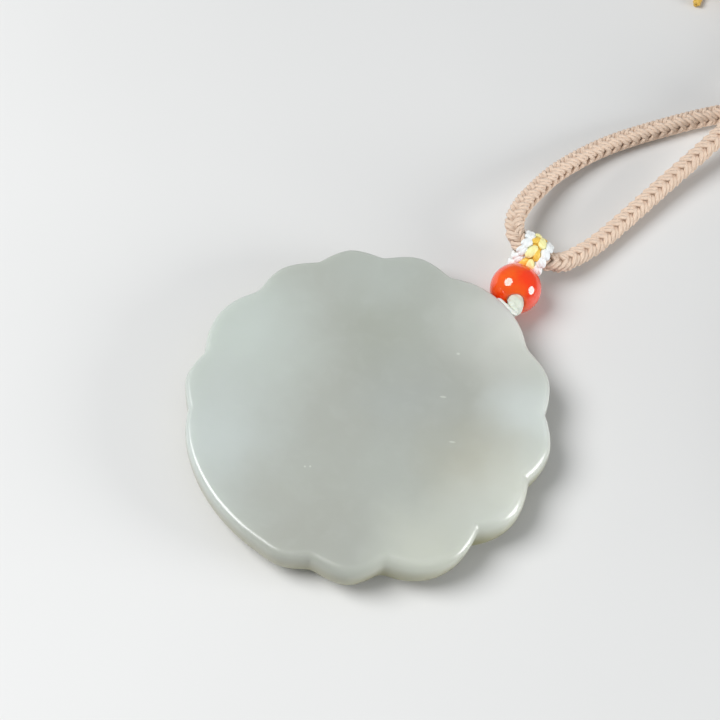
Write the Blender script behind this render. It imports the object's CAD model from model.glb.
import math

import bpy
import numpy as np
from mathutils import Matrix, Vector


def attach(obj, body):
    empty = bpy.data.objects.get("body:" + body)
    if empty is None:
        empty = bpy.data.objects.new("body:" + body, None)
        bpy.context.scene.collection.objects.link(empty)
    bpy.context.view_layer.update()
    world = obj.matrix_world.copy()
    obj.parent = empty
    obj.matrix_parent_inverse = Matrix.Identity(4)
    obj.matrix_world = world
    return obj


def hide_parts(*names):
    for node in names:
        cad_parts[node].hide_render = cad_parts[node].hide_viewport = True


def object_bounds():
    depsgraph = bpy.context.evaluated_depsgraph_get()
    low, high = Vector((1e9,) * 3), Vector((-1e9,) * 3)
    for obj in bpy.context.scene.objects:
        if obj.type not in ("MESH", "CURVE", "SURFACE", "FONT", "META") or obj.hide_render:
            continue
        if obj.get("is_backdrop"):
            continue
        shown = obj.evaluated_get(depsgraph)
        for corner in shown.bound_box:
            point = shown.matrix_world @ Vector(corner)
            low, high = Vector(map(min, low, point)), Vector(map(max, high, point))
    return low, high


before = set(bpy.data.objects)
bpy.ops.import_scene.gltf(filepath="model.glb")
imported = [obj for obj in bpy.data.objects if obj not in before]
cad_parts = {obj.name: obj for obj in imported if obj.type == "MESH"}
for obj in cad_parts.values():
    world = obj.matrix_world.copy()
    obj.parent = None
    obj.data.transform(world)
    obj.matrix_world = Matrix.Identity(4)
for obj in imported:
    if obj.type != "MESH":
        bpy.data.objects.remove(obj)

# Sizes and places are in millimetres, and MM turns them into metres for Blender and the frame
MM = 0.001
UP = np.array([0.0, 0.0, 1.0])
cad_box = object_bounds()


def at_rim(r, azimuth, z):
    a = math.radians(azimuth)
    return np.array([r * math.cos(a), r * math.sin(a), z])


def turned(tilt, azimuth):
    """The directions X, Y and Z after a tilt about Y and then a turn about Z, in degrees, as rows."""
    t, a = math.radians(tilt), math.radians(azimuth)
    x = [math.cos(t) * math.cos(a), math.cos(t) * math.sin(a), -math.sin(t)]
    y = [-math.sin(a), math.cos(a), 0]
    z = [math.sin(t) * math.cos(a), math.sin(t) * math.sin(a), math.cos(t)]
    return np.array([x, y, z])


# The rim of the jade, anticlockwise. Each row is one notch and the lobe that follows it.
# columns: azimuth of the notch, depth of the notch, how far the lobe stays inside the full width,
# softness of the notch from 0 to 1, radius of the rounded top edge, degrees that the notch leans on its
# way up; a depth under zero is a swelling
RIM = [
    [4.3, 0.93, -0.39, 0, 0.85, 0],
    [29, 1.04, -0.48, 1, 0.8, 0],
    [66.2, 1.15, -0.19, 0.6, 0.6, 0],
    [90.2, 1.18, -0.3, 0.65, 0.6, 0],
    [112.4, 1.07, 0, 0.15, 0.6, 0],
    [136.5, 1.57, -0.17, 0.9, 0.6, 0],
    [166.5, 1.2, -0.27, 0.25, 0.7, 0],
    [187.8, 0.59, -0.24, 0, 0.7, 0],
    [235.5, -0.24, -0.44, 1, 0.9, 0],
    [256.4, 1.18, -0.21, 0.6, 1.1, 0],
    [279.4, 2.05, -0.31, 0.67, 1.6, 1.6],
    [311, 1.95, -0.03, 0.2, 1.4, 3.9],
    [339.6, 1.17, -0.22, 0.05, 1.6, 0],
]
DISC_R = 25.0
DISC_T = 6.4
LOBE_SPAN = 24
LOBE_POWER = 1.5
# The underside is part of a sphere from the flat land to the foot of the rim
LAND_R = 12.0
RIM_LIFT = 2.4
DOME_Z = (DISC_R**2 - LAND_R**2 + RIM_LIFT**2) / (2 * RIM_LIFT)
DOME_R = math.hypot(DOME_Z, LAND_R)

# Two thread holes in the rim, which meet inside it. The right one runs on a little past that place.
HOLE_D = 1.7
HOLES_CROSS = at_rim(21, 46.3, 4.6)
LEFT_MOUTH = at_rim(DISC_R + 0.7, 51.3, 4.6)
RIGHT_MOUTH = at_rim(DISC_R + 0.6, 43.7, 4.5)
HOLE_PAST = 0.9

# The bead, whose axis Z points towards the jade and a little upwards, and the line on which the two ends of
# the thread go into it side by side
BEAD_D = 7.4
BEAD_L = 6.6
BEAD_HOLE_D = 2.3
BEAD_AT = np.array([19.1, 22.7, BEAD_D / 2])
BEAD_TURN = turned(67, 269.5)
BEAD_AXIS = BEAD_TURN[2]
BUNDLE_START = np.array([19.25, 18.15, 4.85])
BUNDLE_BEND = BEAD_AT + BEAD_AXIS * (BEAD_L / 2 + 0.7)
# The thread leaves the left hole and runs along the top of the rim to the bead
THREAD_ALONG_RIM = [
    at_rim(25.7, 49.5, 5.1),
    at_rim(25.5, 48.7, 5.6),
    at_rim(25.5, 45.7, 5.7),
    at_rim(25.5, 43.2, 5.7),
    at_rim(25.6, 42.2, 5.7),
]
# A groove in the rim from hole to hole, in which the thread lies
GROOVE_D = 2.2
GROOVE_R = 25.6
GROOVE_Z = 4.8
GROOVE_AZIMUTHS = 53, 40

# The band of the bail goes round the neck cord: X points down, Y away from the bead, Z along the cord
BAIL_AT = np.array([21.45, 28.3, 4.35])
BAIL_TURN = turned(105, -22)
BAIL_W = 4.7
# Where the two ends of the band meet, in X and Y
BAIL_ROOT = np.array([2, -3.1])

# The neck cord, and the sleeve that joins its ends, with the loose end of the thread
CORD_D = 3.0
SLEEVE_D = 5.6
SLEEVE_L = 12.0
SLEEVE_FRONT = np.array([49.5, 87, SLEEVE_D / 2])
SLEEVE_AZIMUTH = math.radians(121)
TAIL_D = 1.3
TAIL = [[47, 87.3, 1.7], [46.2, 84.3, 0.9], [45.6, 81.9, 0.7]]

# Route of the neck cord, one closed loop from the bail and back to it
ROUTE = [
    [21.8, 28.1, 4.4],
    [25.1, 28.1, 3.4],
    [27.8, 30.1, 2.6],
    [31.8, 34.2, 2],
    [40.6, 44.7, 2.5],
    [47.2, 52.1, 3.9],
    [53, 59.4, 4.7],
    [57.5, 66, 4.1],
    [59, 74, 2.6],
    [56.5, 81, 1.8],
    [52.4, 84.5, 2.3],
    [49.2, 87.5, 2.8],
    [43.6, 96.8, 2.8],
    [41, 104, 1.8],
    [42.5, 114.5, 1.5],
    [50.5, 122.5, 1.5],
    [63, 126, 1.5],
    [77, 125, 1.5],
    [89, 118, 1.5],
    [96, 105, 1.5],
    [99, 84, 1.5],
    [98.5, 60, 1.5],
    [97, 36, 1.5],
    [95, 12, 1.5],
    [89, -11, 1.5],
    [77, -21, 1.5],
    [66, -17, 1.5],
    [60.5, -3, 1.5],
    [60, 18, 1.5],
    [64, 38, 1.5],
    [67.3, 51, 1.5],
    [63.2, 60, 1.5],
    [56, 61.7, 1.5],
    [49, 59.7, 1.5],
    [40.1, 55.8, 1.5],
    [31.5, 51, 1.7],
    [24.7, 45, 2.6],
    [20.8, 39.5, 3.7],
    [19.1, 36.3, 4.4],
    [18.25, 33.2, 4.9],
    [19.05, 30.1, 4.9],
]


# Lines

def unit(v):
    return v / np.linalg.norm(v, axis=-1, keepdims=True)


def curve_through(points, steps, closed):
    """A smooth curve through the points, with that many steps from each to the next."""
    p = np.array(points, dtype=float)
    if closed:
        a, b, c, d = np.roll(p, 1, 0), p, np.roll(p, -1, 0), np.roll(p, -2, 0)
    else:
        p = np.vstack([2 * p[0] - p[1], p, 2 * p[-1] - p[-2]])
        a, b, c, d = p[:-3], p[1:-2], p[2:-1], p[3:]
    u = (np.arange(steps) / steps)[None, :, None]
    a, b, c, d = (x[:, None, :] for x in (a, b, c, d))
    line = (2 * b + (c - a) * u + (2 * a - 5 * b + 4 * c - d) * u**2 + (3 * b - a - 3 * c + d) * u**3) / 2
    line = line.reshape(-1, 3)
    return line if closed else np.vstack([line, p[-2]])


def reach_of(line):
    """The distance along the line at each of its points."""
    return np.concatenate([[0], np.cumsum(np.linalg.norm(np.diff(line, axis=0), axis=1))])


def resampled(line, count, closed=False):
    """The line again, with count points at equal distances, and its length."""
    if closed:
        line = np.vstack([line, line[:1]])
    reach = reach_of(line)
    at = np.linspace(0, reach[-1], count, endpoint=not closed)
    return np.stack([np.interp(at, reach, line[:, k]) for k in range(3)], axis=1), reach[-1]


def corners_cut(line, rounds):
    """The line with its corners cut off that many times, which makes it smooth without swinging out."""
    for _ in range(rounds):
        near, far = line[:-1] * 0.75 + line[1:] * 0.25, line[:-1] * 0.25 + line[1:] * 0.75
        line = np.vstack([line[:1], np.stack([near, far], axis=1).reshape(-1, 3), line[-1:]])
    return line


def directions(line, closed=False):
    """The unit direction of the line at each of its points."""
    if closed:
        return unit(np.roll(line, -1, 0) - np.roll(line, 1, 0))
    return unit(np.gradient(line, axis=0))


def sides_of(line):
    """A direction square to an open line at each of its points, which doesn't twist along it."""
    along = directions(line)
    start = UP if abs(along[0][2]) < 0.9 else np.array([1.0, 0, 0])
    sides = [unit(np.cross(along[0], start))]
    for ahead in along[1:]:
        side = sides[-1]
        sides.append(unit(side - ahead * np.dot(side, ahead)))
    return np.array(sides)


def rounded(line, end):
    """How thick a rod is along the line as a share of its full width, with round ends that long."""
    reach = reach_of(line)
    near_end = np.clip(np.minimum(reach, reach[-1] - reach) / end, 0.02, 1)
    return np.sqrt(1 - (1 - near_end) ** 2)


def twisted(line, count, radius, pitch):
    """The middle lines of count plies that run round the line at that radius."""
    side = sides_of(line)
    up = np.cross(side, directions(line))
    turn = 2 * np.pi * reach_of(line) / pitch
    radius = np.broadcast_to(radius, len(line))[:, None]
    plies = []
    for k in range(count):
        a = (turn + 2 * np.pi * k / count)[:, None]
        plies.append(line + (side * np.cos(a) + up * np.sin(a)) * radius)
    return plies


# Meshes

class Strands:
    """A mesh that grows strand by strand. Each corner of a face has a place on its strand, (along, around),
    and each point has a lift from 0, deep in the weave, to 1, on top of it."""

    def __init__(self):
        self.points, self.faces, self.places, self.lifts, self.count = [], [], [], [], 0

    def add(self, points, faces, places, lift):
        self.faces += [tuple(k + self.count for k in face) for face in faces]
        self.points.append(points)
        self.places += places
        self.lifts.append(np.broadcast_to(lift, len(points)))
        self.count += len(points)

    def tube(self, line, across, half_width, half_height, sides, closed=False, lift=1.0, power=1.0):
        """A tube along the line, that wide in the direction across. A power under 1 makes it squarer."""
        along = directions(line, closed)
        across = unit(across - along * np.sum(across * along, axis=1, keepdims=True))
        out = np.cross(along, across)
        a = 2 * np.pi * (np.arange(sides) + 0.5) / sides
        wide = np.sign(np.cos(a)) * np.abs(np.cos(a)) ** power
        high = np.sign(np.sin(a)) * np.abs(np.sin(a)) ** power
        half_width = np.broadcast_to(half_width, len(line))[:, None, None]
        half_height = np.broadcast_to(half_height, len(line))[:, None, None]
        ring = across[:, None, :] * wide[None, :, None] * half_width
        ring = ring + out[:, None, :] * high[None, :, None] * half_height
        points = (line[:, None, :] + ring).reshape(-1, 3)
        count = len(line)
        n = np.arange(count if closed else count - 1)[:, None]
        k = np.arange(sides)[None, :]
        here, there, turn = n * sides, (n + 1) % count * sides, (k + 1) % sides
        faces = np.stack([here + k, here + turn, there + turn, there + k], axis=-1).reshape(-1, 4)
        reach = reach_of(np.vstack([line, line[:1]]))
        near, far = (np.broadcast_to(reach[n + j], (len(n), sides)) for j in (0, 1))
        left, right = (np.broadcast_to((k + j) / sides, (len(n), sides)) for j in (0, 1))
        places = np.stack([near, left, near, right, far, right, far, left], axis=-1).reshape(-1, 2).tolist()
        faces = [tuple(f) for f in faces.tolist()]
        if not closed:
            faces.append(tuple(range(sides))[::-1])
            faces.append(tuple(range((count - 1) * sides, count * sides)))
            places += [[0, 0]] * sides + [[reach[count - 1], 0]] * sides
        if np.ndim(lift) > 0:
            lift = np.repeat(lift, sides)
        self.add(points, faces, places, lift)

    def oval(self, middle, along, across, half_length, half_width, half_height, lift=1.0, rings=9, sides=14):
        """A stitch: a rounded grain that points along, that wide in the direction across."""
        t = np.cos(np.pi * (np.arange(rings) + 0.35) / (rings - 0.3))
        line = middle + unit(along) * (t * half_length)[:, None]
        full = np.sqrt(1 - t**2)
        self.tube(line, np.tile(across, (rings, 1)), full * half_width, full * half_height, sides, lift=lift)


def mesh_of(name, points, faces, material=None):
    """A smooth mesh of points in millimetres."""
    mesh = bpy.data.meshes.new(name)
    mesh.from_pydata((points * MM).tolist(), [], faces)
    mesh.polygons.foreach_set("use_smooth", [True] * len(mesh.polygons))
    mesh.update()
    if material:
        mesh.materials.append(material)
    return mesh


def shown(name, mesh):
    thing = bpy.data.objects.new(name, mesh)
    bpy.context.scene.collection.objects.link(thing)
    return thing


def as_part(thing, nodes=()):
    """Lets the thing ride on the part with the finish of the slot, in the place of the nodes."""
    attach(thing, "root")
    if nodes:
        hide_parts(*nodes)
    return thing


def piece(name, shape, material, nodes=()):
    """The strands in shape as one object of the part."""
    mesh = mesh_of(name, np.vstack(shape.points), shape.faces, material)
    places = mesh.uv_layers.new(name="strand_mm")
    places.data.foreach_set("uv", np.array(shape.places, dtype=np.float32).ravel())
    lift = mesh.attributes.new("lift", "FLOAT", "POINT")
    lift.data.foreach_set("value", np.concatenate(shape.lifts).astype(np.float32))
    return as_part(shown(name, mesh), nodes)


# Materials

def node(tree, kind, inputs=None, **settings):
    """A new node. Each input is a value, or the socket of another node that feeds it."""
    made = tree.nodes.new("ShaderNode" + kind)
    for key, value in settings.items():
        setattr(made, key, value)
    for key, value in (inputs or {}).items():
        if isinstance(value, bpy.types.NodeSocket):
            tree.links.new(value, made.inputs[key])
        else:
            made.inputs[key].default_value = value
    return made


def mixed(tree, share, a, b):
    """The colour a turned into the colour b by the share."""
    mix = tree.nodes.new("ShaderNodeMix")
    mix.data_type = "RGBA"
    for key, value in ((0, share), (6, a), (7, b)):
        if isinstance(value, bpy.types.NodeSocket):
            tree.links.new(value, mix.inputs[key])
        elif isinstance(value, tuple):
            mix.inputs[key].default_value = (*value, 1)
        else:
            mix.inputs[key].default_value = value
    return mix.outputs[2]


def mapped(tree, value, low, high, to_low=0.0, to_high=1.0):
    """The value brought smoothly from one range to another, and kept inside it."""
    inputs = {"Value": value, "From Min": low, "From Max": high, "To Min": to_low, "To Max": to_high}
    return node(tree, "MapRange", inputs, interpolation_type="SMOOTHSTEP").outputs[0]


def times(tree, a, b):
    return node(tree, "Math", {0: a, 1: b}, operation="MULTIPLY").outputs[0]


def plus(tree, a, b):
    return node(tree, "Math", {0: a, 1: b}, operation="ADD").outputs[0]


def noise(tree, place, scale, detail=2.0):
    return node(tree, "TexNoise", {"Vector": place, "Scale": scale, "Detail": detail}).outputs[0]


def object_place(tree):
    return node(tree, "TexCoord").outputs["Object"]


def new_material(name, roughness):
    m = bpy.data.materials.new(name)
    m.use_nodes = True
    shader = m.node_tree.nodes["Principled BSDF"]
    shader.inputs["Roughness"].default_value = roughness
    return m, m.node_tree, shader


def bumped(tree, shader, height, bump):
    """Gives the surface the relief of the height, which is bump millimetres from 0 to 1."""
    made = node(tree, "Bump", {"Height": height, "Distance": bump * MM})
    tree.links.new(made.outputs[0], shader.inputs["Normal"])


# The scales of the noise, here and below, are in waves per metre
FUZZ_SCALE = 2600
PATCH_SCALE = 160
# How much of a deeper colour the ridges, the fuzz and the patches bring in
RIDGE_SHARE = 0.22
FUZZ_SHARE = 0.16
PATCH_SHARE = 0.12
# The height of the fibres, and how deep red, green and blue light goes in before the shader's scale of 0.05
FIBRE_BUMP = 0.04
THREAD_DEPTHS = (0.6, 0.5, 0.4)


def thread_material(name, deep, low, high, roughness, sheen=0.0, soft=0.0, fibres=7, lean=1.2):
    """Twisted fibres: three colours from deep in the weave to its top, and fine ridges.

    fibres is how many ridges go round a strand, and lean how many of them one millimetre of it crosses."""
    m, tree, shader = new_material(name, roughness)
    place = object_place(tree)
    lift = node(tree, "Attribute", attribute_name="lift").outputs["Fac"]
    strand = node(tree, "SeparateXYZ", {0: node(tree, "UVMap", uv_map="strand_mm").outputs[0]})
    slant = plus(tree, times(tree, strand.outputs[1], float(fibres)), times(tree, strand.outputs[0], lean))
    ridge = node(tree, "Math", {0: times(tree, slant, 2 * math.pi)}, operation="SINE").outputs[0]
    fuzz = noise(tree, place, FUZZ_SCALE, 3)
    patch = noise(tree, place, PATCH_SCALE, 2)
    color = mixed(tree, mapped(tree, lift, 0.0, 0.55), deep, low)
    color = mixed(tree, mapped(tree, lift, 0.35, 1.0), color, high)
    color = mixed(tree, mapped(tree, ridge, -1.0, 1.0, RIDGE_SHARE, 0.0), color, low)
    color = mixed(tree, mapped(tree, fuzz, 0.35, 0.7, FUZZ_SHARE, 0.0), color, deep)
    color = mixed(tree, mapped(tree, patch, 0.4, 0.62, PATCH_SHARE, 0.0), color, low)
    tree.links.new(color, shader.inputs["Base Color"])
    bumped(tree, shader, plus(tree, times(tree, ridge, 0.5), fuzz), FIBRE_BUMP)
    shader.inputs["Sheen Weight"].default_value = sheen
    shader.inputs["Sheen Roughness"].default_value = 0.4
    shader.inputs["Subsurface Weight"].default_value = soft
    shader.inputs["Subsurface Radius"].default_value = Vector(THREAD_DEPTHS) * MM
    return m


# Patches of the jade's colour, each round a place on it.
# columns: x, y, radius, share, colour
JADE_PATCHES = [
    [-19, 9, 18, 0.75, (0.59, 0.65, 0.61)],
    [-21, -8, 17, 0.7, (0.61, 0.67, 0.65)],
    [-6, -17, 14, 0.45, (0.44, 0.45, 0.40)],
    [24, 1, 12, 0.9, (0.66, 0.70, 0.67)],
    [19, 15, 13, 0.9, (0.69, 0.70, 0.65)],
    [20, -11, 13, 0.9, (0.71, 0.74, 0.68)],
    [15, -7, 11, 0.45, (0.43, 0.41, 0.31)],
    [10, -20, 11, 0.6, (0.67, 0.69, 0.60)],
    [1, 12, 11, 0.45, (0.37, 0.39, 0.33)],
    [4, 2, 10, 0.25, (0.40, 0.44, 0.44)],
    [0, 22, 9, 0.5, (0.48, 0.52, 0.48)],
]
# Small pale marks in the jade's face. columns: x, y, half length, half width
JADE_MARKS = [
    [9.9, 2.4, 0.6, 0.2],
    [11.6, -4.3, 0.6, 0.18],
    [-7.6, -10.3, 0.2, 0.2],
    [-6.9, -10.2, 0.2, 0.2],
    [11.5, 9.4, 0.35, 0.25],
]
JADE_MARK_COLOR = (0.72, 0.75, 0.68)
# The two colours of its wide clouds, and the colour of its fine pale wisps
JADE_CLOUDS = (0.435, 0.45, 0.405), (0.46, 0.485, 0.44)
JADE_WISPS = (0.60, 0.64, 0.60)
# The wall of the rim is darker and warmer than the face
JADE_LOW_TINT = (0.28, 0.265, 0.125)
# Down the wall the colour turns into that tint, and on the underside back towards that of the face.
# values: lower height, upper height, share of the change from the lower height down
JADE_WARMS = 2.6, DISC_T, 0.93
JADE_COOLS = 0.6, 2.2, 0.7
# How far the outlines of the patches wander
JADE_WANDER = 8
# The noise scales of those outlines, the clouds, the wisps, and the coarse and fine waves of the face
JADE_WANDER_SCALE = 110
JADE_CLOUD_SCALE = 45
JADE_WISP_SCALE = 420
JADE_WAVE_SCALES = 300, 2400
# The height of the coarse waves, that of the fine ones as a share of it, and how deep red, green and blue
# light goes in
JADE_BUMP = 0.06
JADE_FINE_SHARE = 0.08
JADE_DEPTHS = (3.2, 3.4, 3.0)


def vector(tree, operation, a, b=None, output=0):
    inputs = {0: a} if b is None else {0: a, 1: b}
    return node(tree, "VectorMath", inputs, operation=operation).outputs[output]


def jade_material():
    m, tree, shader = new_material("pale_jade", 0.3)
    place = object_place(tree)
    wander = node(tree, "TexNoise", {"Vector": place, "Scale": JADE_WANDER_SCALE, "Detail": 3}).outputs[1]
    centred = vector(tree, "SUBTRACT", wander, (0.5, 0.5, 0.5))
    wavy = vector(tree, "ADD", place, vector(tree, "MULTIPLY", centred, (JADE_WANDER * MM,) * 3))
    level = vector(tree, "MULTIPLY", place, (1, 1, 0))
    wavy_level = vector(tree, "MULTIPLY", wavy, (1, 1, 0))
    clouds = noise(tree, place, JADE_CLOUD_SCALE, 3)
    color = mixed(tree, mapped(tree, clouds, 0.35, 0.65), *JADE_CLOUDS)
    for x, y, radius, share, patch in JADE_PATCHES:
        away = vector(tree, "DISTANCE", wavy_level, (x * MM, y * MM, 0), 1)
        color = mixed(tree, mapped(tree, away, 0.0, radius * MM, share, 0.0), color, patch)
    wisps = noise(tree, wavy, JADE_WISP_SCALE, 4)
    color = mixed(tree, mapped(tree, wisps, 0.45, 0.8, 0.0, 0.1), color, JADE_WISPS)
    for x, y, long, wide in JADE_MARKS:
        from_mark = vector(tree, "SUBTRACT", level, (x * MM, y * MM, 0))
        scaled = vector(tree, "MULTIPLY", from_mark, (1 / (long * MM), 1 / (wide * MM), 0))
        away = vector(tree, "LENGTH", scaled, None, 1)
        color = mixed(tree, mapped(tree, away, 0.4, 1.0, 0.55, 0.0), color, JADE_MARK_COLOR)
    height = node(tree, "SeparateXYZ", {0: place}).outputs[2]
    low, high, share = JADE_WARMS
    warm = mixed(tree, mapped(tree, height, low * MM, high * MM, share, 0.0), color, JADE_LOW_TINT)
    low, high, share = JADE_COOLS
    color = mixed(tree, mapped(tree, height, low * MM, high * MM, share, 0.0), warm, color)
    tree.links.new(color, shader.inputs["Base Color"])
    coarse, fine = (noise(tree, place, scale) for scale in JADE_WAVE_SCALES)
    bumped(tree, shader, plus(tree, coarse, times(tree, fine, JADE_FINE_SHARE)), JADE_BUMP)
    shader.inputs["Subsurface Weight"].default_value = 0.6
    shader.inputs["Subsurface Radius"].default_value = Vector(JADE_DEPTHS) * MM
    shader.inputs["Subsurface Scale"].default_value = 1.0
    shader.inputs["IOR"].default_value = 1.6
    shader.inputs["Coat Weight"].default_value = 0.45
    shader.inputs["Coat Roughness"].default_value = 0.22
    return m


# The two colours of the bead's clouds, the noise scales of its clouds and its faint waves, the height of the
# waves, and how deep red, green and blue light goes in
BEAD_REDS = (0.95, 0.045, 0.0), (1.0, 0.115, 0.001)
BEAD_CLOUD_SCALE = 260
BEAD_WAVE_SCALE = 900
BEAD_BUMP = 0.003
BEAD_DEPTHS = (3.0, 0.6, 0.1)


def bead_material():
    m, tree, shader = new_material("red_stone", 0.14)
    place = object_place(tree)
    cloud = noise(tree, place, BEAD_CLOUD_SCALE, 3)
    color = mixed(tree, mapped(tree, cloud, 0.35, 0.68), *BEAD_REDS)
    tree.links.new(color, shader.inputs["Base Color"])
    bumped(tree, shader, noise(tree, place, BEAD_WAVE_SCALE), BEAD_BUMP)
    shader.inputs["Subsurface Weight"].default_value = 0.25
    shader.inputs["Subsurface Radius"].default_value = Vector(BEAD_DEPTHS) * MM
    shader.inputs["Subsurface Scale"].default_value = 1.0
    shader.inputs["Specular IOR Level"].default_value = 0.2
    shader.inputs["Coat Weight"].default_value = 1.0
    shader.inputs["Coat IOR"].default_value = 1.68
    shader.inputs["Coat Roughness"].default_value = 0.02
    return m


# The two colours of the floor's wide spots, and their noise scale
FLOOR_GREYS = (0.74, 0.74, 0.73), (0.78, 0.78, 0.77)
FLOOR_SPOT_SCALE = 6


def floor_material():
    m, tree, shader = new_material("pale_floor", 0.55)
    spots = noise(tree, object_place(tree), FLOOR_SPOT_SCALE, 4)
    color = mixed(tree, mapped(tree, spots, 0.3, 0.7), *FLOOR_GREYS)
    tree.links.new(color, shader.inputs["Base Color"])
    return m


# Camera

CAMERA_ELEVATION = math.radians(60.3)
CAMERA_ROLL = math.radians(6.2)
CAMERA_DISTANCE = 254.0
CAMERA_AIM = np.array([-1.87, 10.38, 0.0])
CAMERA_LENS = 90
CAMERA_NEAR = 10


def make_camera():
    forward = np.array([0, math.cos(CAMERA_ELEVATION), -math.sin(CAMERA_ELEVATION)])
    level_right = np.array([1.0, 0, 0])
    level_up = np.cross(level_right, forward)
    right = level_right * math.cos(CAMERA_ROLL) + level_up * math.sin(CAMERA_ROLL)
    up = level_up * math.cos(CAMERA_ROLL) - level_right * math.sin(CAMERA_ROLL)
    data = bpy.data.cameras.new("camera")
    data.lens = CAMERA_LENS
    data.clip_start = CAMERA_NEAR * MM
    camera = shown("camera", data)
    turn = Matrix([right, up, -forward]).transposed().to_4x4()
    camera.matrix_world = Matrix.Translation(Vector((CAMERA_AIM - forward * CAMERA_DISTANCE) * MM)) @ turn
    bpy.context.scene.camera = camera


# Neck cord: a round braid of eight strands, four each way, over two and under two.
# A strand is two yarns side by side.

CORD_STRANDS = 4
CORD_LEAD = 6.6
ROUTE_STEPS = 24
RINGS_PER_TURN = 14
YARN_SIDES = 6
YARN_HALF_WIDTH = 0.34
YARN_HALF_HEIGHT = 0.31
# How far each yarn lies from the middle of its strand
YARN_BESIDE = 0.3
# How far the strand rises and sinks as it goes over and under, and how steeply
STRAND_WAVE = 0.31
WAVE_STEEPNESS = 2.2
STRAND_R = 0.88
# A plain core closes the gaps of the braid
CORE_R = 0.92
CORE_SIDES = 10
# How far round the cord, from its side, the middle of the columns lies in which one way is on top
COLUMN_TURN = math.radians(30)


def cord_line(count):
    """The middle line of the cord, nowhere under the surface that it lies on, and its length."""
    line, length = resampled(curve_through(ROUTE, ROUTE_STEPS, True), count, True)
    line[:, 2] = np.maximum(line[:, 2], CORD_D / 2)
    return line, length


def make_neck_cord(material):
    turns = round(cord_line(1000)[1] / CORD_LEAD)
    rings = turns * RINGS_PER_TURN
    line, length = cord_line(rings)
    along = directions(line, True)
    side = unit(np.cross(along, UP))
    up = np.cross(side, along)
    progress = np.arange(rings) / rings
    braid = Strands()
    for way in (1, -1):
        for strand in range(CORD_STRANDS):
            start = strand + (0.5 if way < 0 else 0)
            turn = way * 2 * np.pi * (turns * progress + start / CORD_STRANDS)
            lift = np.clip(WAVE_STEEPNESS * way * np.cos(2 * (turn - COLUMN_TURN)), -1, 1)
            outward = side * np.cos(turn)[:, None] + up * np.sin(turn)[:, None]
            middle = line + outward * (STRAND_R + lift * STRAND_WAVE)[:, None]
            across = unit(np.cross(directions(middle, True), outward))
            for beside in (-YARN_BESIDE, YARN_BESIDE):
                yarn = middle + across * beside
                braid.tube(yarn, across, YARN_HALF_WIDTH, YARN_HALF_HEIGHT, YARN_SIDES, True, lift / 2 + 0.5)
    braid.tube(line[::4], side[::4], CORE_R, CORE_R, CORE_SIDES, closed=True, lift=0.3)
    return piece("neck_cord_braid", braid, material, ["neck_cord"]), line, length


# Sleeve: gold-coloured thread wound round the joined ends of the cord

WINDING_D = 0.5
WINDING_PITCH = 0.47
WINDING_STEPS = 36
# How long the rounded ends of the sleeve are, and how far the winding and the core sink there
SLEEVE_END = 1.6
WINDING_DROP = 0.45
CORE_DROP = 0.5
# The core under the winding: how much thinner it is, and how much shorter at each end
CORE_UNDER = 0.05
CORE_SHORT = 0.2
# The loose end: how far out its three plies lie and how thick they are, as shares of its width
TAIL_OUT = 0.24
TAIL_PLY = 0.28
TAIL_PITCH = 2.2


def sleeve_taper(at, drop):
    """How far the winding sinks near the two ends of the sleeve."""
    from_end = np.minimum(at, SLEEVE_L - at)
    return drop * np.clip(1 - from_end / SLEEVE_END, 0, 1) ** 2


def make_sleeve(material):
    ahead = np.array([math.cos(SLEEVE_AZIMUTH), math.sin(SLEEVE_AZIMUTH), 0])
    side = np.cross(ahead, UP)
    radius = SLEEVE_D / 2 - WINDING_D / 2
    turns = (SLEEVE_L - WINDING_D) / WINDING_PITCH
    t = np.linspace(0, 1, round(turns * WINDING_STEPS))
    at = WINDING_D / 2 + t * (SLEEVE_L - WINDING_D)
    angle = (2 * np.pi * turns * t)[:, None]
    reach = (radius - sleeve_taper(at, WINDING_DROP))[:, None]
    line = SLEEVE_FRONT + ahead * at[:, None] + (side * np.cos(angle) + UP * np.sin(angle)) * reach
    wound = Strands()
    half = WINDING_D / 2 * rounded(line, 0.5)
    wound.tube(line, np.tile(ahead, (len(line), 1)), half, half, 8)
    at = np.linspace(CORE_SHORT, SLEEVE_L - CORE_SHORT, 30)
    core_r = radius - CORE_UNDER - sleeve_taper(at, CORE_DROP)
    core = SLEEVE_FRONT + ahead * at[:, None]
    wound.tube(core, np.tile(side, (len(at), 1)), core_r, core_r, 32, lift=0.2)
    return piece("sleeve_winding", wound, material, ["end_sleeve"])


def make_tail(material):
    line, _ = resampled(curve_through(TAIL, 10, False), 60)
    tail = Strands()
    for ply in twisted(line, 3, TAIL_D * TAIL_OUT, TAIL_PITCH):
        half = TAIL_D * TAIL_PLY * rounded(ply, 0.4)
        tail.tube(ply, sides_of(ply), half, half, 10)
    return piece("sleeve_tail", tail, material)


# Jade

RIM_STEPS = 1080
TOP_RINGS = 8
EDGE_RINGS = 10
WALL_RINGS = 5
FOOT_RINGS = 6
DOME_RINGS = 10
LAND_RINGS = (0.7, 0.35)
# The rounding at the foot of the wall, and how far the wall swells out between its edges
FOOT_R = 0.9
WALL_BULGE = 0.1
# How far the sharp notches, the soft ones and the widths of the rounded edge are blurred, in degrees
SHARP_BLUR = 0.5
SOFT_BLUR = 2.2
EDGE_BLUR = 3


def rim_column(azimuth, column):
    """One column of the rim's table, from notch to notch along a straight line."""
    rows = np.array(RIM)
    at = np.append(rows[:, 0], rows[0, 0] + 360)
    return np.interp((azimuth - at[0]) % 360 + at[0], at, np.append(rows[:, column], rows[0, column]))


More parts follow.
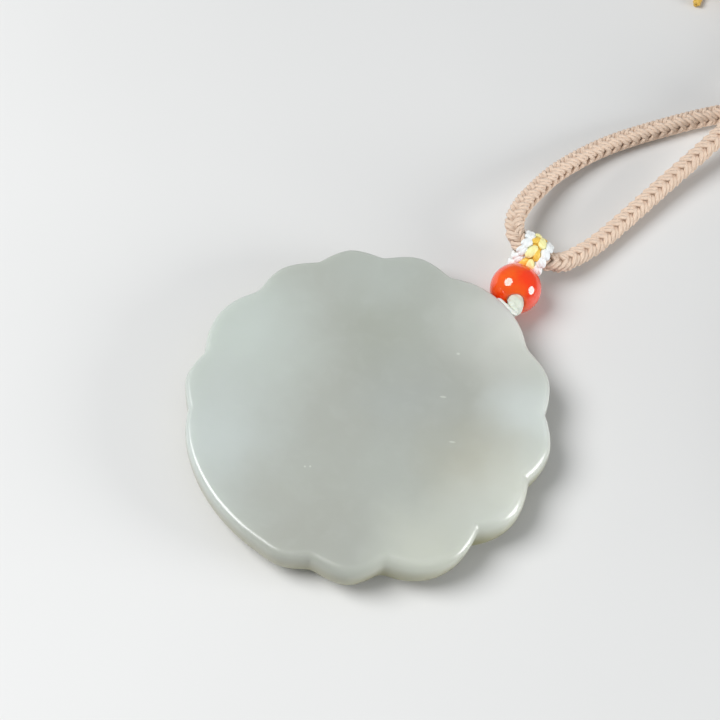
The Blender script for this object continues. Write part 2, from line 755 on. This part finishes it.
def rim_radius(azimuth):
    """The rim's radius with all its notches sharp. A wider lobe is flatter in its middle."""
    rows = np.array(RIM)
    i = (np.searchsorted(rows[:, 0], azimuth, side="right") - 1) % len(rows)
    after = (i + 1) % len(rows)
    degrees = (rows[after, 0] - rows[i, 0]) % 360
    u = (azimuth - rows[i, 0]) % 360 / degrees
    notch = rows[i, 1] * (1 - u) + rows[after, 1] * u
    drop = rows[i, 2]
    return DISC_R - drop - (notch - drop) * np.abs(2 * u - 1) ** (LOBE_POWER * degrees / LOBE_SPAN)


def blurred(values, degrees):
    """The values round the rim, each mixed with its neighbours that many degrees away."""
    reach = 60
    apart = np.arange(-reach, reach + 1) * 360 / RIM_STEPS
    weight = np.exp(-(apart**2) / (2 * degrees**2))
    weight /= weight.sum()
    return np.convolve(np.concatenate([values[-reach:], values, values[:reach]]), weight, mode="valid")


def dome_height(r):
    """The height of the round underside at that radius."""
    return DOME_Z - np.sqrt(DOME_R**2 - r**2)


def jade_rings(r, edge):
    """The rings of the jade from the middle of its face over the rim to the middle of its underside, as the
    radius and height of each point; r and edge are the rim's radius and its rounding, all the way round."""
    rings = [((r - WALL_BULGE - edge) * k / TOP_RINGS, DISC_T + 0 * r) for k in range(1, TOP_RINGS + 1)]
    for k in range(1, EDGE_RINGS + 1):
        a = math.pi / 2 * k / EDGE_RINGS
        rings.append((r - WALL_BULGE - edge * (1 - math.sin(a)), DISC_T - edge * (1 - math.cos(a))))
    slope = math.asin(DISC_R / DOME_R)
    foot_in = WALL_BULGE + FOOT_R * (1 - math.sin(slope))
    foot_top = dome_height(r - foot_in) + FOOT_R * math.cos(slope)
    for k in range(1, WALL_RINGS):
        u = k / WALL_RINGS
        swell = WALL_BULGE * (1 - (2 * u - 1) ** 2)
        rings.append((r - WALL_BULGE + swell, (DISC_T - edge) * (1 - u) + foot_top * u))
    for k in range(FOOT_RINGS + 1):
        a = (math.pi / 2 - slope) * k / FOOT_RINGS
        rings.append((r - WALL_BULGE - FOOT_R * (1 - math.cos(a)), foot_top - FOOT_R * math.sin(a)))
    foot = rings[-1][0]
    for k in range(1, DOME_RINGS + 1):
        here = foot + (LAND_R - foot) * k / DOME_RINGS
        rings.append((here, dome_height(here)))
    return rings + [(LAND_R * share + 0 * r, 0 * r) for share in LAND_RINGS]


def lathe_faces(rings, steps, closed=False):
    """The faces between rings of that many points."""
    k = np.arange(steps)
    after = (k + 1) % steps
    faces = []
    for ring in range(rings if closed else rings - 1):
        near, far = ring * steps, (ring + 1) % rings * steps
        faces += np.stack([near + k, far + k, far + after, near + after], axis=1).tolist()
    return faces


def make_jade(material):
    azimuth = np.arange(RIM_STEPS) * 360 / RIM_STEPS
    sharp = rim_radius(azimuth)
    soft = rim_column(azimuth, 3)
    r = blurred(sharp, SHARP_BLUR) * (1 - soft) + blurred(sharp, SOFT_BLUR) * soft
    rings = jade_rings(r, blurred(rim_column(azimuth, 4), EDGE_BLUR))
    lean = blurred(rim_column(azimuth, 5), SOFT_BLUR)
    points = []
    for radius, height in rings:
        a = np.radians(azimuth + lean * np.clip((height - RIM_LIFT) / (DISC_T - RIM_LIFT), 0, 1))
        points.append(np.stack([radius * np.cos(a), radius * np.sin(a), height], axis=1))
    points = np.vstack([*points, [[0, 0, DISC_T]], [[0, 0, 0]]])
    faces = lathe_faces(len(rings), RIM_STEPS)
    low, top, bottom = (len(rings) - 1) * RIM_STEPS, len(points) - 2, len(points) - 1
    for k in range(RIM_STEPS):
        after = (k + 1) % RIM_STEPS
        faces += [[top, k, after], [bottom, low + after, low + k]]
    jade = shown("jade_disc", mesh_of("jade_disc", points, faces, material))
    past = HOLES_CROSS + unit(HOLES_CROSS - RIGHT_MOUTH) * HOLE_PAST
    drill(jade, LEFT_MOUTH, HOLES_CROSS, HOLE_D / 2)
    drill(jade, RIGHT_MOUTH, past, HOLE_D / 2)
    groove_from, groove_to = (at_rim(GROOVE_R, azimuth, GROOVE_Z) for azimuth in GROOVE_AZIMUTHS)
    drill(jade, groove_from, groove_to, GROOVE_D / 2)
    return as_part(jade, ["jade_pendant"])


def drill(thing, start, end, radius):
    """Cuts a round hole from start to end into the thing."""
    line = np.linspace(start, end, 6)
    rod = Strands()
    rod.tube(line, sides_of(line), radius, radius, 32)
    cutter = shown("drill", mesh_of("drill", np.vstack(rod.points), rod.faces))
    cut = thing.modifiers.new("hole", "BOOLEAN")
    cut.solver = "EXACT"
    cut.object = cutter
    cut_thing = thing.evaluated_get(bpy.context.evaluated_depsgraph_get())
    thing.data = bpy.data.meshes.new_from_object(cut_thing)
    thing.modifiers.clear()
    bpy.data.objects.remove(cutter)


# Bead: a slightly flattened ball with a hole along it, whose two edges are rounded

BEAD_FLAT = 0.965
BEAD_SIDES = 192
BEAD_RINGS = 97
BEAD_EDGE = 0.25
BORE_RINGS = 5
# The rounded edge from the bore out, in shares of BEAD_EDGE. columns: away from the bore, down from the end
BEAD_LIP = ((0, 1), (0.08, 0.5), (0.3, 0.12), (0.65, 0))
BALL_FROM_BORE = 1.4


def make_bead(material):
    hole_r, half = BEAD_HOLE_D / 2, BEAD_L / 2
    start = math.asin((hole_r + BEAD_EDGE * BALL_FROM_BORE) * 2 / BEAD_D)
    angles = np.linspace(start, math.pi - start, BEAD_RINGS)
    ball = [(BEAD_D / 2 * math.sin(a), BEAD_D / 2 * math.cos(a)) for a in angles]
    lip = [(hole_r + BEAD_EDGE * x, half - BEAD_EDGE * y) for x, y in BEAD_LIP]
    bore = [(hole_r, (half - BEAD_EDGE) * k) for k in np.linspace(-1, 1, BORE_RINGS)[1:-1]]
    profile = ball + [(r, -h) for r, h in lip[::-1]] + bore + lip
    turn = 2 * np.pi * np.arange(BEAD_SIDES)[:, None] / BEAD_SIDES
    x, y, z = BEAD_TURN
    round_axis = x * np.cos(turn) + y * np.sin(turn)
    points = np.vstack([BEAD_AT + z * h * BEAD_FLAT + round_axis * r for r, h in profile])
    faces = lathe_faces(len(profile), BEAD_SIDES, closed=True)
    return as_part(shown("bead", mesh_of("bead", points, faces, material)), ["red_bead"])


# Thread: one pass through the two holes, whose two ends thicken and go up into the bead side by side,
# and a short filler between them that closes the bead's mouth

THREAD_R = 0.36
BUNDLED_R = 0.62
THREAD_PLIES = 3
THREAD_PITCH = 3.4
THREAD_STEPS = 220
CORNER_ROUNDS = 4
# How far out the middle of a ply lies and how far out its own edge, as shares of the thread's radius
PLY_OUT = 0.2
PLY_EDGE = 1.02
# How far from the bead's axis each of the two ends lies, and how thick the filler is
BUNDLE_HALF = 0.56
FILLER_R = 1.06
# How far along the thread its thick part reaches from inside the bead, and over what length it thins
THICK_END = 3.3
THICK_FADE = 2.4
# Where the thread turns into the left hole, as a share of the way out of it; how far from the middle of the
# bead its ends lie, on the jade's side; and how far above its two ends the filler lies
IN_HOLE = 0.93
IN_BORE = 0.6
FILLER_UP = 0.24


def make_thread(material):
    left = unit(np.cross(BEAD_AXIS, UP)) * BUNDLE_HALF
    up = unit(np.cross(left, BEAD_AXIS)) * FILLER_UP
    turn_in = HOLES_CROSS + (LEFT_MOUTH - HOLES_CROSS) * IN_HOLE
    in_bead = BEAD_AT + BEAD_AXIS * IN_BORE
    passed = [
        in_bead + left,
        BUNDLE_BEND + left,
        BUNDLE_START + left * 0.5,
        *THREAD_ALONG_RIM[::-1],
        turn_in,
        HOLES_CROSS,
        RIGHT_MOUTH,
        BUNDLE_START - left * 0.5,
        BUNDLE_BEND - left,
        in_bead - left,
    ]
    filler = [in_bead + up, BUNDLE_BEND + up * 0.8, (BUNDLE_BEND + BUNDLE_START) / 2, BUNDLE_START]
    thread = Strands()
    for spots, thick in ((passed, BUNDLED_R), (filler, FILLER_R)):
        line, length = resampled(corners_cut(np.array(spots), CORNER_ROUNDS), THREAD_STEPS)
        reach = reach_of(line)
        from_bead = reach if spots is filler else np.minimum(reach, length - reach)
        thin = np.clip((from_bead - THICK_END) / THICK_FADE, 0, 1)
        radius = thick + (THREAD_R - thick) * thin
        for ply in twisted(line, THREAD_PLIES, radius * PLY_OUT, THREAD_PITCH):
            half = radius * (PLY_EDGE - PLY_OUT) * rounded(ply, 0.3)
            thread.tube(ply, sides_of(ply), half, half, 14, lift=0.55 + 0.45 * thin)
    return piece("pendant_thread", thread, material, ["thread_loop"])


# Bail: a woven band folded round the neck cord, with pale borders and a plaited gold middle

BAND_R = 2.05
BAND_ROOT_R = 0.5
BAND_HALF_T = 0.34
BAND_STEPS = 240
LOOP_STEPS = 80
# How far the band's ends reach into the bead, how wide they are there as a share of the full width, and
# where the band begins to widen, over what length and how quickly
ROOT_IN_BEAD = 1.6
ROOT_SHARE = 0.38
WIDENS_FROM = 1.3
WIDENS_OVER = 1.7
WIDENS_POWER = 0.8
# How much thinner the band gets at its ends, and how much narrower its ground is than its stitches, on each
# side; the ground of the plait lies a little over it
ROOT_THINNING = 0.4
GROUND_IN = 0.25
PLAIT_UP = 0.12
PLAIT_HALF = 0.9
# The stitches begin and end that far from the bead
STITCH_CLEAR = 0.1
STITCH_PITCH = 1.2
PLAIT_PITCH = 1.75
PLAIT_START = -0.1
STITCH_LEAN = math.radians(32)
# The stitches. columns: how far beside the edge or the middle, height over the middle of the band,
# lean as a share of STITCH_LEAN, half length, half width, half height
OUTER_STITCH = (0, BAND_HALF_T * 0.5, 1, 0.85, 0.5, 0.42)
INNER_STITCH = (-0.45, BAND_HALF_T * 0.8, 0.6, 0.85, 0.56, 0.42)
BRIGHT_STITCH = (0.44, BAND_HALF_T + 0.1, 0.45, 1.15, 0.7, 0.46)
DARK_STITCH = (0.5, BAND_HALF_T + 0.02, 1, 1.0, 0.6, 0.4)
# How far in from the band's edge the outer stitches lie, and how much further along the inner ones
STITCH_IN = 0.36
INNER_ON = 0.2
# How far the far side of the band leans back along the cord, and how much narrower it is there
BAND_LEAN = -0.5
FAR_NARROWING = 0.12


def band_path():
    """The middle line of the band, its directions ahead and outwards, its width as a share of the full
    one, and the distance along it."""
    heading = math.atan2(BAIL_ROOT[1], BAIL_ROOT[0])
    spread = math.acos((BAND_R - BAND_ROOT_R) / np.linalg.norm(BAIL_ROOT))
    angles = np.linspace(heading + spread, heading + 2 * math.pi - spread, LOOP_STEPS)
    loop = np.stack([np.cos(angles), np.sin(angles)], axis=1) * BAND_R
    ends = BAIL_ROOT + loop[[0, -1]] * BAND_ROOT_R / BAND_R
    flat = np.vstack([ends[:1], loop, ends[1:]])
    x, y, z = BAIL_TURN
    line = BAIL_AT + flat[:, :1] * x + flat[:, 1:] * y
    inside = BEAD_AXIS * ROOT_IN_BEAD
    line, length = resampled(np.vstack([line[:1] + inside, line, line[-1:] + inside]), BAND_STEPS)
    ahead = directions(line)
    outward = unit(np.cross(ahead, z))
    reach = reach_of(line)
    far = np.sin(np.pi * reach / length)
    line = line + z * BAND_LEAN * far[:, None]
    from_end = np.minimum(reach, length - reach)
    widening = np.clip((from_end - WIDENS_FROM) / WIDENS_OVER, 0, 1) ** WIDENS_POWER
    share = ROOT_SHARE + (1 - ROOT_SHARE) * widening
    share *= 1 - FAR_NARROWING * far**2
    return line, ahead, outward, share, reach


def make_bail(pale, gold, dark_gold):
    line, ahead, outward, share, reach = band_path()
    z = BAIL_TURN[2]

    def stitch(shape, at, start, hand, row, lift=1.0):
        """One stitch at a distance along the band. Its row's place beside the middle line counts from start,
        and hand is 1 or -1 for the side of the band that it lies on and leans towards."""
        beside, above, lean, length, width, height = row
        k = min(int(np.searchsorted(reach, at)), len(line) - 1)
        lean *= hand * STITCH_LEAN
        way = ahead[k] * math.cos(lean) + z * math.sin(lean)
        middle = line[k] + z * hand * (start + beside) * share[k] + outward[k] * above
        width *= (1 + share[k]) / 2
        shape.oval(middle, way, np.cross(way, outward[k]), length, width, height, lift)

    base, bright, dark = Strands(), Strands(), Strands()
    across = np.tile(z, (len(line), 1))
    half_t = BAND_HALF_T * (1 - ROOT_THINNING * (1 - share))
    base.tube(line, across, (BAIL_W / 2 - GROUND_IN) * share, half_t, 24, lift=0.3, power=0.55)
    dark.tube(line + outward * PLAIT_UP, across, PLAIT_HALF * share, half_t, 16, lift=0.2, power=0.6)
    begin, end = ROOT_IN_BEAD + STITCH_CLEAR, reach[-1] - ROOT_IN_BEAD - STITCH_CLEAR
    edge = BAIL_W / 2 - STITCH_IN
    for at in np.arange(begin, end, STITCH_PITCH):
        for border in (1, -1):
            stitch(base, at, edge, border, OUTER_STITCH)
            stitch(base, at + INNER_ON, edge, border, INNER_STITCH)
    for n, at in enumerate(np.arange(begin + PLAIT_START, end, PLAIT_PITCH)):
        hand = -1 if n % 2 == 0 else 1
        stitch(bright, at, 0, hand, BRIGHT_STITCH)
        stitch(dark, at, 0, -hand, DARK_STITCH, 0.6)
    piece("bail_band", base, pale, ["woven_bail"])
    piece("bail_plait_bright", bright, gold)
    piece("bail_plait_dark", dark, dark_gold)


# Room and light: a soft box above on the left, a low one on the right, and pale air

LIGHT_AIM = Vector((5, 10, 3))
FLOOR_HALF = 2000
AIR_COLOR = (0.9, 0.95, 1.0, 1)
AIR_POWER = 0.25


def area_light(name, azimuth, elevation, distance, size, power):
    """A round soft box of that size, which shines at the part from that far away."""
    a, e = math.radians(azimuth), math.radians(elevation)
    away = Vector((math.cos(e) * math.cos(a), math.cos(e) * math.sin(a), math.sin(e)))
    data = bpy.data.lights.new(name, "AREA")
    data.shape = "DISK"
    data.size = size * MM
    data.energy = power
    lamp = shown(name, data)
    lamp.location = (LIGHT_AIM + away * distance) * MM
    lamp.rotation_euler = away.to_track_quat("Z", "Y").to_euler()


def make_room():
    far = FLOOR_HALF
    corners = np.array([(-far, -far, 0), (far, -far, 0), (far, far, 0), (-far, far, 0)])
    shown("floor", mesh_of("floor", corners, [(0, 1, 2, 3)], floor_material()))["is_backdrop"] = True
    world = bpy.data.worlds.new("room")
    world.use_nodes = True
    air = world.node_tree.nodes["Background"]
    air.inputs["Color"].default_value = AIR_COLOR
    air.inputs["Strength"].default_value = AIR_POWER
    bpy.context.scene.world = world
    area_light("key", 184, 54, 500, 330, 2.3)
    area_light("side", -12, 15, 500, 260, 1.6)
    bpy.context.scene.view_settings.view_transform = "Standard"


# The whole scene. The colours of a thread go from deep in the weave to its top.

make_camera()
tan = thread_material(
    "tan_braid", (0.56, 0.41, 0.305), (0.68, 0.505, 0.385), (0.90, 0.71, 0.56), 0.75, sheen=0.3
)
gold_thread = thread_material("gold_winding", (0.20, 0.09, 0.01), (0.55, 0.30, 0.03), (0.85, 0.55, 0.10), 0.4)
neck_cord, cord_middle, cord_length = make_neck_cord(tan)
sleeve = make_sleeve(gold_thread)
tail = make_tail(gold_thread)
make_jade(jade_material())
make_bead(bead_material())
make_thread(
    thread_material("pale_thread", (0.5, 0.54, 0.46), (0.68, 0.73, 0.6), (0.95, 0.97, 0.92), 0.5, soft=0.3)
)
make_bail(
    thread_material("white_band", (0.55, 0.66, 0.70), (0.80, 0.89, 0.90), (0.97, 0.98, 0.97), 0.5, fibres=5),
    thread_material("bright_gold", (0.70, 0.50, 0.10), (0.97, 0.88, 0.32), (1.0, 0.98, 0.50), 0.4, fibres=5),
    thread_material("dark_gold", (0.60, 0.30, 0.03), (0.93, 0.60, 0.09), (1.0, 0.75, 0.16), 0.4, fibres=5),
)
make_room()

sizes = {"cad": cad_box, "visual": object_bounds()}
sizes = {name: [[float(x) for x in corner] for corner in box] for name, box in sizes.items()}
